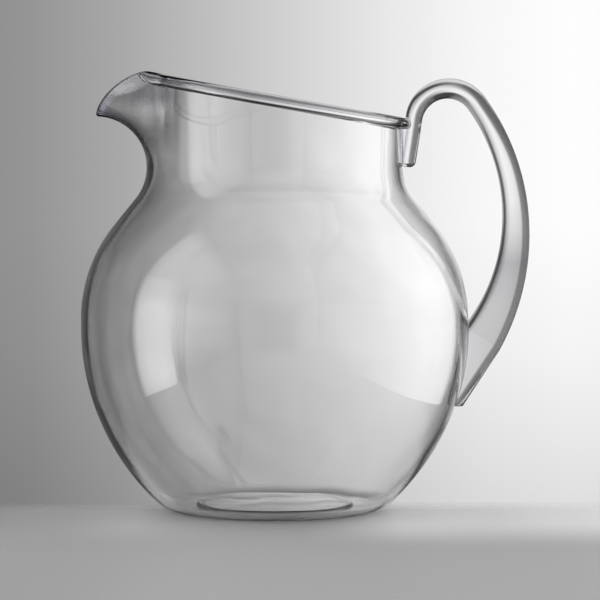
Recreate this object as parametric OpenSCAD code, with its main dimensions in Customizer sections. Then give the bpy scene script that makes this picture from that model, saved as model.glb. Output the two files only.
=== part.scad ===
// Round-bellied table pitcher: a clear moulded vessel with a beaded rim and a pouring spout,
// and a bent bar handle that is bonded to its neck and its belly.
// Millimetres, +Z up. The origin is the middle of the foot, on the table. The spout points
// along -X and the handle along +X.

/* [Vessel] */
// Outside diameter of the belly at its belt
belly_d = 193.5; // [176:0.5:212]
// Height of the lower edge of the belt above the table
belly_z = 92; // [82:1:102]
// Height of the straight belt round the belly
belt_h = 4.5; // [2:0.5:10]
// Height of the shoulder, from the belt to the straight neck
shoulder_h = 75.5; // [66:0.5:86]
// Outside diameter of the neck
neck_d = 127.7; // [112:0.1:140]
// Height of the straight neck beside the handle, rim included
neck_h = 24.5; // [20:0.5:32]
// Thickness of the wall
wall = 2.8; // [2.2:0.1:4.2]

/* [Foot] */
// Diameter of the edge where the rounded foot leaves the table
foot_d = 95.4; // [80:0.2:110]
// Radius of the round between the foot and the belly
foot_round = 16; // [10:0.5:22]
// Width of the flat ring that stands on the table
foot_ring_w = 10.8; // [7:0.2:14]
// Depth of the hollow under the foot
recess_depth = 1.6; // [1:0.1:3]
// Thickness of the floor, which steps up over the hollow
floor_t = 2.9; // [2.4:0.1:4.5]

/* [Rim and spout] */
// Slope of the mouth, down from the spout to the handle, in degrees
rim_tilt = 10.2; // [4:0.1:14]
// Height of the rounded bead round the mouth
bead_h = 6; // [4.5:0.1:7]
// How far the bead stands out from the neck
bead_out = 4; // [3.2:0.1:5]
// How far the spout's lip reaches out from the neck
spout_reach = 25.2; // [16:0.2:30]
// How far the spout's lip droops below the plane of the mouth
spout_drop = 24.5; // [16:0.5:28]
// Half of the angle that the spout takes up round the neck, in degrees
spout_half_angle = 32; // [24:1:44]
// Thickness of the lip at the spout's tip
lip_t = 2.4; // [2:0.1:4]

/* [Handle] */
// How far the handle stands out beyond the belly
handle_reach = 30.5; // [24:0.5:38]
// How far the handle rises above the rim beside it
handle_rise = 19.8; // [14:0.2:28]
// Diameter of the round bar at the top of the arch
rod_d = 10.5; // [8:0.1:13]
// Width of the post beside the neck, seen from the side
post_w = 8.4; // [6.6:0.1:10]
// Thickness of the post's lower end outside the neck
post_toe_t = 6.2; // [4.8:0.1:7.6]
// Lean of the post away from the neck, in degrees
post_lean = 8.5; // [4:0.5:12]
// Radius of the handle's bow, along the middle of the bar
bow_r = 103.5; // [94:0.5:114]
// Height of the handle's outermost place above the belt's lower edge
bow_rise = 51; // [46:0.5:58]
// Drop from the belt's lower edge to the blunt tip of the handle's foot
tip_drop = 39.4; // [35:0.2:46]
// Thickness of that tip outside the belly
tip_t = 4; // [3:0.1:6]
// Width of the handle's foot, seen from the side
foot_w = 21.2; // [16:0.2:26]
// Depth of the handle's foot, from front to back
foot_depth = 13; // [10:0.2:16]
// Radius of the rounded edges of the handle's foot
foot_edge_r = 4; // [3:0.1:4.8]

/* [Bonds] */
// Thickness of the adhesive between the handle and the vessel
bond_t = 0.3; // [0.2:0.05:0.6]
// Clearance between the rim's bead and the notch for it in the handle's post
bead_clear = 0.3; // [0.2:0.05:0.8]

/* [Hidden] */
$fn = 96;

vessel_colour = [0.86, 0.88, 0.91, 0.45];
handle_colour = [0.80, 0.82, 0.88, 0.60];
bond_colour = [0.72, 0.72, 0.80, 0.80];

// How far a cut runs past what it cuts
overrun = 5;

// Levels and radii of the vessel
belly_r = belly_d / 2;
neck_r = neck_d / 2;
foot_r = foot_d / 2;
recess_r = foot_r - foot_ring_w;
step_r = recess_r + floor_t;
floor_z = recess_depth + floor_t;
belt_top_z = belly_z + belt_h;
neck_z = belt_top_z + shoulder_h;
rim_low_z = neck_z + neck_h;
rim_mid_z = rim_low_z + neck_r * tan(rim_tilt);

// Radius of an arc that starts upright, and ends on a smaller round whose centre lies the given
// way across and along from that start
function tangent_radius(across, along, round_r) =
    (across * across + along * along - round_r * round_r) / (2 * (across - round_r));

function mix(from, to, share) = from + (to - from) * share;

// Lower belly: one arc from the belt to the foot's round
low_r = tangent_radius(belly_r - foot_r, belly_z - foot_round, foot_round);
low_centre = [belly_r - low_r, belly_z];

// Shoulder: a belly arc and a hollow neck fillet, joined by their common tangent. The shares
// give the two radii together, of the most that fits, and the fillet's part of them
blend_share = 0.955;
fillet_share = 0.25;
shoulder_in = belly_r - neck_r;
blend_r = blend_share * (shoulder_in * shoulder_in + shoulder_h * shoulder_h) / (2 * shoulder_in);
fillet_r = fillet_share * blend_r;
high_r = blend_r - fillet_r;
fillet_centre = [neck_r + fillet_r, neck_z];

// Points along an arc, ends included
arc_step = 3;
function arc(centre, radius, from, to) =
    let (count = ceil(abs(to - from) / arc_step))
    [for (i = [0:count]) centre + polar(radius, mix(from, to, i / count))];

function polar(radius, angle) = radius * [cos(angle), sin(angle)];

// Outline of the vessel from its flat bottom up to the neck, offset outwards by grow, with the
// bottom rounded into the lower belly by corner_r and the belly into the shoulder by bulge_r
function skin(grow, bottom_z, corner_r, bulge_r) =
    let (
        arc_r = low_r + grow,
        corner_z = bottom_z + corner_r,
        touch_angle = -asin((belly_z - corner_z) / (arc_r - corner_r)),
        corner_x = low_centre[0] + (arc_r - corner_r) * cos(touch_angle),
        bulge_centre = [belly_r + grow - bulge_r, belt_top_z],
        hollow_r = fillet_r - grow,
        way = fillet_centre - bulge_centre,
        cone_angle = atan2(way[1], way[0]) - acos((bulge_r + hollow_r) / norm(way))
    )
    concat(
        arc([corner_x, corner_z], corner_r, -90, touch_angle),
        tail(arc(low_centre, arc_r, touch_angle, 0)),
        arc(bulge_centre, bulge_r, 0, cone_angle),
        arc(fillet_centre, hollow_r, 180 + cone_angle, 180)
    );

function tail(list) = [for (i = [1:len(list) - 1]) list[i]];
function reversed(list) = [for (i = [len(list) - 1:-1:0]) list[i]];

// Outside of the vessel up to the rim beside the handle, filled and grown by the given amount
module vessel_envelope(grow) {
    rotate_extrude()
        polygon(concat(
            [[0, -grow]],
            skin(grow, -grow, foot_round + grow, high_r + grow),
            [[neck_r + grow, rim_low_z], [0, rim_low_z]]
        ));
}

// The mouth is lofted from columns round the axis, closer together in the spout. Its facets
// stand proud of the round neck below, which laps up into the middle of their wall
spout_columns = 44;
back_columns = 60;
proud_share = 1.5;
back_step = (360 - 2 * spout_half_angle) / back_columns;
facet_proud = proud_share * neck_r * (1 / cos(back_step / 2) - 1);
lap_share = 0.25;
collar_z = neck_z + lap_share * wall;
column_angles = concat(
    [for (i = [0:spout_columns - 1]) mix(-spout_half_angle, spout_half_angle, i / spout_columns)],
    [for (i = [0:back_columns - 1]) spout_half_angle + i * back_step]
);

// Steps along the upright wall, round the bead and round the inside corner
wall_steps = 7;
bead_steps = 5;
corner_steps = 3;
// Where the bead leaves the wall, as an angle below its outermost point
bead_start = 60;
corner_share = 0.45;
// How square the spout's lip falls away, seen from the side
lip_power = 1.5;
// Lean of the plain neck, as a share of the facets' stand-off, which gives its arc a radius
upright_share = 0.1;
// Share of the spout's reach by which the bead has run out into the plain lip
bead_end_share = 0.35;

function fade(share) = share * share * (3 - 2 * share);

// Share of the spout's reach at an angle from its middle
function spout_share(angle) =
    abs(angle) < spout_half_angle ? (1 + cos(180 * angle / spout_half_angle)) / 2 : 0;

function lip_radius(angle) = neck_r + spout_reach * spout_share(angle);

// Share of the spout's droop at an angle from its middle
function droop_share(angle) =
    let (out_share = max(0, (lip_radius(angle) * cos(angle) - neck_r) / spout_reach))
    1 - pow(1 - pow(out_share, lip_power), 1 / lip_power);

function lip_z(angle) =
    rim_mid_z + lip_radius(angle) * cos(angle) * tan(rim_tilt) - spout_drop * droop_share(angle);

// Closed section of the mouth's wall at one column, as radius and height: up the outside, round
// the bead or lip, and down the inside. The wall ends lower and further in by what the leaning lip
// adds, so that the lip's edge keeps to its level and its reach
function mouth_section(angle) =
    let (
        spout = spout_share(angle),
        plain = fade(min(1, spout / bead_end_share)),
        lip_h = mix(bead_h, lip_t, plain),
        foot_t = wall + 2 * facet_proud,
        top_t = mix(foot_t, lip_t, spout),
        corner_r = corner_share * top_t,
        rough_lean = 2 * atan2((spout_reach - lip_t) * spout, lip_z(angle) - lip_h - collar_z),
        top_rise = corner_r + (lip_h - corner_r) * cos(rough_lean) + (top_t - corner_r) * sin(rough_lean),
        reach = spout_reach * spout - lip_h * sin(rough_lean) + upright_share * facet_proud,
        rise = lip_z(angle) - top_rise - collar_z,
        lean = 2 * atan2(reach, rise),
        arc_r = (reach * reach + rise * rise) / (2 * reach),
        arc_centre = [neck_r + facet_proud + arc_r, collar_z],
        along = [sin(lean), cos(lean)],
        outward = [cos(lean), -sin(lean)],
        wall_end = arc_centre - arc_r * [cos(lean), -sin(lean)],
        bead_from = mix(-bead_start, 0, plain),
        bead_mid = mix(bead_out - bead_h / 2, -top_t / 2, plain),
        steps = [for (i = [0:wall_steps]) i / wall_steps]
    )
    concat(
        [[neck_r + facet_proud, neck_z]],
        [for (s = steps) arc_centre - arc_r * [cos(s * lean), -sin(s * lean)]],
        [
            for (i = [0:bead_steps])
                let (a = mix(bead_from, 90, i / bead_steps))
                wall_end + along * (1 + sin(a)) * lip_h / 2 + outward * (bead_mid + cos(a) * lip_h / 2)
        ],
        [
            for (i = [0:corner_steps])
                let (a = mix(90, 180, i / corner_steps))
                wall_end + along * (lip_h - corner_r * (1 - sin(a)))
                    + outward * (corner_r * (1 + cos(a)) - top_t)
        ],
        [
            for (i = [0:wall_steps])
                let (s = 1 - i / wall_steps)
                arc_centre - (arc_r + mix(foot_t, top_t, s)) * [cos(s * lean), -sin(s * lean)]
        ],
        [[neck_r - wall - facet_proud, neck_z]]
    );

// Triangles between rings of equal length; the last ring meets the first when closed
function ring_faces(rings, sides, closed) = [
    for (i = [0:rings - (closed ? 1 : 2)], j = [0:sides - 1])
        let (
            a = i * sides + j,
            b = i * sides + (j + 1) % sides,
            c = (i + 1) % rings * sides + j,
            d = (i + 1) % rings * sides + (j + 1) % sides
        )
        each [[a, b, d], [a, d, c]]
];

module mouth() {
    sections = [for (angle = column_angles) mouth_section(angle)];
    points = [
        for (i = [0:len(sections) - 1], p = sections[i])
            [-p[0] * cos(column_angles[i]), -p[0] * sin(column_angles[i]), p[1]]
    ];
    polyhedron(points, ring_faces(len(sections), len(sections[0]), true), convexity = 6);
}

// Foot, belly, shoulder and the start of the neck, with the hollow under the foot and the step over it
module bowl() {
    edge_r = recess_depth / 2;
    recess = concat(
        arc([recess_r - recess_depth, edge_r], edge_r, 90, 0),
        tail(arc([recess_r, edge_r], edge_r, 180, 270))
    );
    step = concat(
        arc([step_r, floor_t + edge_r], edge_r, 270, 180),
        tail(arc([step_r - recess_depth, floor_t + edge_r], edge_r, 0, 90))
    );
    rotate_extrude()
        polygon(concat(
            [[0, recess_depth]],
            recess,
            skin(0, 0, foot_round, high_r),
            [[neck_r, collar_z], [neck_r - wall, collar_z]],
            reversed(skin(-wall, floor_t, foot_round - wall, high_r - wall)),
            step,
            [[0, floor_z]]
        ));
}

module vessel_body() {
    color(vessel_colour) {
        bowl();
        mouth();
    }
}

// Middle line of the handle's bar: a leaning post, an arch over the top, a wide bow and a
// straight foot, each tangent to the next. Angles are those of the bar's outward side
post_angle = 180 - post_lean;
post_along = [sin(post_lean), cos(post_lean)];
post_start = [neck_r + post_toe_t - post_w / 2, neck_z];
bow_w_share = 0.3;
bow_w = mix(rod_d, foot_w, bow_w_share);
bow_centre = [belly_r + handle_reach - bow_w / 2 - bow_r, belly_z + bow_rise];

// The arch touches the post's line, the level of the top and the bow's circle. Its centre moves
// along a straight line as its radius grows, which makes the radius the root of a quadratic
top_z = rim_low_z + handle_rise - rod_d / 2;
arch_move = [(1 - sin(post_lean)) / cos(post_lean), -1];
arch_from = [post_start[0] + (top_z - neck_z) * tan(post_lean), top_z] - bow_centre;
root_a = arch_move * arch_move - 1;
root_b = arch_from * arch_move + bow_r;
root_c = arch_from * arch_from - bow_r * bow_r;
arch_r = (sqrt(root_b * root_b - root_a * root_c) - root_b) / root_a;
arch_centre = bow_centre + arch_from + arch_r * arch_move;
bow_from = atan2(arch_centre[1] - bow_centre[1], arch_centre[0] - bow_centre[0]);

// The foot leaves the bow where its outer edge runs straight to the tip, which stands on the belly
tip_z = belly_z - tip_drop;
tip_x = low_centre[0] + sqrt(low_r * low_r - tip_drop * tip_drop) + tip_t;
tip_way = [tip_x, tip_z] - bow_centre;
bow_to = atan2(tip_way[1], tip_way[0]) + acos((bow_r + foot_w / 2) / norm(tip_way));
foot_run = (bow_centre[1] + bow_r * sin(bow_to) - tip_z) / cos(bow_to);

// Rounds of the post's edges and lower end, as shares of half its width
post_edge_share = 0.95;
post_round_share = 0.76;
post_round = post_round_share * post_w / 2;
// The pad between the post and the neck, as shares of the bar's depth and of the end's round
pad_depth_share = 0.84;
pad_gap_share = 0.1;
pad_depth = pad_depth_share * rod_d;
pad_gap = pad_gap_share * post_round;

cap_steps = 4;
arch_steps = 14;
bow_steps = 22;
edge_steps = 5;

// A station of the bar: place, angle of its outward side, half width, half depth, edge radius
post_stations = [
    for (i = [0:cap_steps])
        let (
            turn = 90 * i / cap_steps,
            inset = post_round * (1 - sin(turn)),
            place = post_start + post_round * (1 - cos(turn)) * post_along
        )
        [place, post_angle, post_w / 2 - inset, rod_d / 2 - inset, post_edge_share * post_w / 2 - inset]
];
arch_stations = [
    for (i = [0:arch_steps])
        let (
            angle = mix(post_angle, bow_from, i / arch_steps),
            share = sin(90 * i / arch_steps),
            half_w = mix(post_w, rod_d, share) / 2
        )
        [
            arch_centre + polar(arch_r, angle), angle,
            half_w, rod_d / 2, mix(post_edge_share, 1, share) * half_w
        ]
];
bow_stations = [
    for (i = [1:bow_steps])
        let (
            angle = mix(bow_from, bow_to, i / bow_steps),
            share = pow(i / bow_steps, 2)
        )
        [
            bow_centre + polar(bow_r, angle), angle, mix(rod_d, foot_w, share) / 2,
            mix(rod_d, foot_depth, share) / 2, mix(rod_d / 2, foot_edge_r, share)
        ]
];
foot_station = [
    bow_centre + polar(bow_r, bow_to) + foot_run * [sin(bow_to), -cos(bow_to)], bow_to,
    foot_w / 2, foot_depth / 2, foot_edge_r
];
stations = concat(post_stations, arch_stations, bow_stations, [foot_station]);

// Ring of a station: a rounded rectangle across the bar
function bar_ring(station) =
    let (
        place = station[0],
        outward = [cos(station[1]), sin(station[1])],
        edge_r = station[4],
        flat_w = station[2] - edge_r,
        flat_d = station[3] - edge_r
    )
    [
        for (corner = [0:3], i = [0:edge_steps - 1])
            let (
                a = 90 * (corner + (i + 1 / 2) / edge_steps),
                across = edge_r * cos(a) + (corner == 0 || corner == 3 ? flat_w : -flat_w),
                depth = edge_r * sin(a) + (corner < 2 ? flat_d : -flat_d),
                spot = place + across * outward
            )
            [spot[0], depth, spot[1]]
    ];

// The whole bent bar, before it is fitted to the vessel
module handle_bar() {
    sides = 4 * edge_steps;
    rings = len(stations);
    points = [for (station = stations) each bar_ring(station)];
    faces = concat(
        ring_faces(rings, sides, false),
        [[for (j = [0:sides - 1]) sides - 1 - j]],
        [[for (j = [0:sides - 1]) (rings - 1) * sides + j]]
    );
    polyhedron(points, faces, convexity = 6);
}

// Pad that fills the wedge between the leaning post and the neck
module post_pad() {
    pad_len = (rim_low_z - bead_h / 2 - neck_z) / cos(post_lean) - pad_gap;
    translate([post_start[0], 0, post_start[1]])
        rotate([0, post_lean, 0])
            translate([-post_w, -pad_depth / 2, pad_gap])
                cube([post_w, pad_depth, pad_len]);
}

// The handle before it is fitted to the vessel
module handle_blank() {
    handle_bar();
    post_pad();
}

// Section of the rim beside the handle, grown by the given amount
module rim_section(grow) {
    bead_r = bead_h / 2 + grow;
    bead_x = neck_r + bead_out - bead_h / 2;
    bead_z = rim_low_z - bead_h / 2;
    translate([0, bead_z - bead_r])
        square([bead_x, 2 * bead_r]);
    intersection() {
        translate([bead_x, bead_z])
            circle(bead_r);
        translate([bead_x, bead_z - bead_r - overrun])
            square([bead_r + overrun, 2 * (bead_r + overrun)]);
    }
}

// Block round the handle between two levels
module handle_zone(low_z, high_z) {
    translate([0, -foot_depth, low_z])
        cube([belly_r + handle_reach, 2 * foot_depth, high_z - low_z]);
}

module handle() {
    color(handle_colour)
        difference() {
            handle_blank();
            vessel_envelope(bond_t);
            rotate_extrude()
                rim_section(bead_clear);
            handle_zone(0, tip_z);
        }
}

module upper_bond() {
    bond_top_z = rim_low_z - bead_h - bead_clear;
    color(bond_colour)
        intersection() {
            handle_blank();
            translate([0, 0, neck_z])
                difference() {
                    cylinder(r = neck_r + bond_t, h = bond_top_z - neck_z);
                    translate([0, 0, -overrun])
                        cylinder(r = neck_r + facet_proud, h = bond_top_z - neck_z + 2 * overrun);
                }
        }
}

module lower_bond() {
    color(bond_colour)
        intersection() {
            handle_bar();
            difference() {
                vessel_envelope(bond_t);
                vessel_envelope(0);
            }
            handle_zone(tip_z, neck_z - fillet_r);
        }
}

vessel_body();
handle();
upper_bond();
lower_bond();
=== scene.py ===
import math

import bpy
from bpy.props import FloatProperty, FloatVectorProperty, PointerProperty
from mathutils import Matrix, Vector
from mathutils.bvhtree import BVHTree


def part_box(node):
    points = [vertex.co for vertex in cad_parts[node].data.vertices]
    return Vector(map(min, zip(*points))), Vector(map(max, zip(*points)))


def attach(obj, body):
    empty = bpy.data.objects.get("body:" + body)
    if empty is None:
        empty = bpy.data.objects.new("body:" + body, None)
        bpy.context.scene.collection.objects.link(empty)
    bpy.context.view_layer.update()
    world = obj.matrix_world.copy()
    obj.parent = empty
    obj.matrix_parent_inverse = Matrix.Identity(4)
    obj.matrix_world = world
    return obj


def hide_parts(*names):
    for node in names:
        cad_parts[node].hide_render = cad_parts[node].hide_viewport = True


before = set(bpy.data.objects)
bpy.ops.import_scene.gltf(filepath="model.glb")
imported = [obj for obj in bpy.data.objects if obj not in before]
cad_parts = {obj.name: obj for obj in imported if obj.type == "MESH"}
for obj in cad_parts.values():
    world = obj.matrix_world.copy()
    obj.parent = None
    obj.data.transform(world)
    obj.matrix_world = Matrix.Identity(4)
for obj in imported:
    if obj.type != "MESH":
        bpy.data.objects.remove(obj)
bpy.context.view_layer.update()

bl_info = {
    "name": "Clear Pitcher",
    "version": (1, 0, 0),
    "blender": (4, 5, 0),
    "location": "View3D > Sidebar > Pitcher",
    "description": "Builds a clear round-bellied pitcher with a bonded bar handle, and a studio for it",
    "category": "Add Mesh",
}

# How fine the meshes are: steps along outlines in metres, and counts round and along
OUTLINE_STEP = 0.0012
OUTLINE_TURN = math.radians(6)
SPOUT_COLUMNS = 96
BACK_COLUMNS = 240
WALL_STEPS = 26
BEAD_STEPS = 22
CORNER_STEPS = 8
CAP_STEPS = 10
ARCH_STEPS = 80
BOW_STEPS = 140
EDGE_STEPS = 12
CUTTER_COLUMNS = 56
# Angle round the spout over which the slant of its wall is measured
SLANT_STEP = math.radians(0.5)
# Half of the sector that cuts the handle to the vessel
CUTTER_HALF_ANGLE = math.radians(8)
# Turns beyond which a crease stays sharp
VESSEL_CREASE = math.radians(40)
HANDLE_CREASE = math.radians(32)
# Keeps the arc of an upright wall from being endless
HAIR = 1e-6
# Rows under the lip, and half of the angle round the spout, that take the rim's painted shade
CHIN_ROWS = 17
CHIN_HALF_ANGLE = math.radians(6)
# Places of the materials on a mesh: the first is the plain acrylic
BONDED_FACE = 1
# The rim's material carries painted shade on the bead, the lip and the spout's chin
RIM_FACE = 2
# A face counts as wetted by adhesive within these shares of the film's thickness
VESSEL_WET_SHARE = 0.9
HANDLE_WET_SHARE = 0.1
# Light bends in acrylic, and crosses adhesive of the same index without a bend
ACRYLIC_IOR = 1.49
UNBENT_IOR = 1.0
# Scales of the noise in the finishes, for each metre
DRIFT_SCALE = 18
MARK_SCALE = 220
RIPPLE_SCALE = 32
WETTED_SCALE = 400
RAG_SCALE = 260
# Share of the noise over which wipe marks grow, and the roughness that they reach
MARK_BOUNDS = (0.45, 0.9)
MARK_ROUGHNESS = 0.03
# Height of the moulding ripple in metres: on the wall, and on the bead and the handle
WALL_RIPPLE = 0.0004
FINE_RIPPLE = 0.0001
# How far the adhesive's edge wanders and where the painted shade along it grows, as shares of the film's
# half depth
RAG_SHARE = 0.35
EDGE_SHARES = (1.0, 1.08)
WHITE = (1, 1, 1, 1)
# A path has been mirrored or scattered when its count of bounces is over this
HALF_BOUNCE = 0.5
# Painted shade along the spout, the rim and the handle's bow, laid in as a deeper cast: a place in metres
# and a share
SPOUT_PAINTED_SHADE = {
    "X": ((-0.085, 0.7), (-0.075, 0.75), (-0.066, 1), (-0.053, 1), (-0.046, 0)),
    "Z": ((0.178, 0), (0.19, 0.5), (0.2, 0.5), (0.207, 1)),
}
RIM_PAINTED_SHADE = {"X": ((-0.085, 1), (-0.062, 1), (-0.045, 0.65), (0.02, 0.5), (0.05, 0.3), (0.07, 0.2))}
BOW_PAINTED_SHADE = {
    "Z": ((0.055, 0.3), (0.085, 0.4), (0.105, 0.65), (0.124, 1), (0.14, 0.4), (0.155, 0.08), (0.17, 0)),
}
# The foot rests on a few high spots of the floor, with air between
AIR_UNDER_FOOT = 0.0001


def length(name, description, default):
    """A length in metres that a user can change."""
    return FloatProperty(
        name=name, description=description, default=default,
        min=0, precision=5, unit="LENGTH", subtype="DISTANCE",
    )


def angle(name, description, degrees):
    """An angle that a user can change."""
    return FloatProperty(
        name=name, description=description, default=math.radians(degrees), subtype="ANGLE"
    )


def colour(name, description, default):
    """A linear colour that a user can change."""
    return FloatVectorProperty(
        name=name, description=description, default=default, size=3, min=0, max=1, subtype="COLOR"
    )


class PitcherVesselSizes(bpy.types.PropertyGroup):
    """Sizes of the moulded vessel, as in the frame."""

    belly_d: length("Belly", "Outside diameter of the belly at its belt", 0.1935)
    belly_z: length("Belt level", "Height of the belt's lower edge above the table", 0.092)
    belt_h: length("Belt height", "Height of the straight belt round the belly", 0.0045)
    shoulder_h: length("Shoulder", "Height of the shoulder from the belt to the neck", 0.0755)
    neck_d: length("Neck", "Outside diameter of the neck", 0.1277)
    neck_h: length("Neck height", "Height of the straight neck beside the handle", 0.0245)
    wall: length("Wall", "Thickness of the wall", 0.0028)
    foot_d: length("Foot", "Diameter of the edge where the foot leaves the table", 0.0954)
    foot_round: length("Foot round", "Radius between the foot and the belly", 0.016)
    foot_ring_w: length("Foot ring", "Width of the flat ring on the table", 0.0108)
    recess_depth: length("Recess", "Depth of the hollow under the foot", 0.0016)
    floor_t: length("Floor", "Thickness of the floor, which steps up over the hollow", 0.0029)
    rim_tilt: angle("Rim tilt", "Slope of the mouth from the spout to the handle", 10.2)
    bead_h: length("Bead", "Height of the rounded bead round the mouth", 0.006)
    bead_out: length("Bead reach", "How far the bead stands out from the neck", 0.004)
    spout_reach: length("Spout reach", "How far the spout's lip reaches out", 0.0252)
    spout_drop: length("Spout drop", "How far the lip droops below the mouth's plane", 0.0245)
    spout_half_angle: angle("Spout width", "Half of the angle of the spout round the neck", 32)
    lip_t: length("Lip", "Thickness of the lip at the spout's tip", 0.0024)


class PitcherHandleSizes(bpy.types.PropertyGroup):
    """Sizes of the bar handle and its bonds, as in the frame."""

    handle_reach: length("Reach", "How far the handle stands out beyond the belly", 0.0305)
    handle_rise: length("Rise", "How far the handle rises above the rim beside it", 0.0198)
    rod_d: length("Bar", "Diameter of the round bar at the top of the arch", 0.0105)
    post_w: length("Post width", "Width of the post beside the neck", 0.0084)
    post_toe_t: length("Post toe", "Thickness of the post's lower end outside the neck", 0.0062)
    post_lean: angle("Post lean", "Lean of the post away from the neck", 8.5)
    bow_r: length("Bow", "Radius of the handle's bow along its middle", 0.1035)
    bow_rise: length("Bow rise", "Height of the outermost place above the belt", 0.051)
    tip_drop: length("Tip drop", "Drop from the belt to the tip of the handle's foot", 0.0394)
    tip_t: length("Tip", "Thickness of that tip outside the belly", 0.004)
    foot_w: length("Foot width", "Width of the handle's foot from the side", 0.0212)
    foot_depth: length("Foot depth", "Depth of the handle's foot from front to back", 0.013)
    foot_edge_r: length("Foot edges", "Radius of the foot's rounded edges", 0.004)
    bond_t: length("Bond", "Thickness of the adhesive", 0.0003)
    bead_clear: length("Bead clearance", "Gap between the rim's bead and the post", 0.0003)


class PitcherFinish(bpy.types.PropertyGroup):
    """Colours of the clear plastic and its adhesive, and the shade painted on the spout, the lip, the bow
    and the adhesive's edge.
    """

    body_tint: colour("Body tint", "What one wall lets through", (0.985, 0.985, 0.985))
    edge_tint: colour("Cast", "The faint violet cast of the plastic", (0.965, 0.963, 0.968))
    # Painted shade: darkens the spout's walls towards its tip
    spout_painted_shade: colour("Spout tint", "What one wall lets through at the spout's tip", (0.47, 0.465, 0.48))
    # Painted shade on the bead, the lip and the chin under it, in the plastic's violet cast
    lip_painted_shade: colour("Lip tint", "What one face of the lip lets through", (0.55, 0.535, 0.61))
    # Painted shade: darkens the handle's bow by height
    bow_painted_shade: colour("Bow tint", "What one face of the bow lets through", (0.55, 0.55, 0.565))
    handle_tint: colour("Handle tint", "What one face of the handle lets through", (0.97, 0.968, 0.982))
    adhesive_tint: colour("Adhesive", "What the set adhesive lets through", (0.80, 0.78, 0.86))
    # Painted shade along the adhesive film's ragged edge
    adhesive_edge_shade: colour("Adhesive edge", "Its squeezed out edge", (0.30, 0.28, 0.34))


def mix(start, end, part):
    return start + (end - start) * part


def fade(part):
    """A share from 0 to 1 that starts and ends gently."""
    return part * part * (3 - 2 * part)


def polar(centre, radius, turn):
    """The point at a radius and a turn from a centre in the upright plane."""
    return (centre[0] + radius * math.cos(turn), centre[1] + radius * math.sin(turn))


def arc(centre, radius, start, end):
    """Points along an arc in the upright plane, ends included."""
    count = math.ceil(abs(end - start) * max(radius / OUTLINE_STEP, 1 / OUTLINE_TURN))
    return [polar(centre, radius, mix(start, end, i / count)) for i in range(count + 1)]


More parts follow.
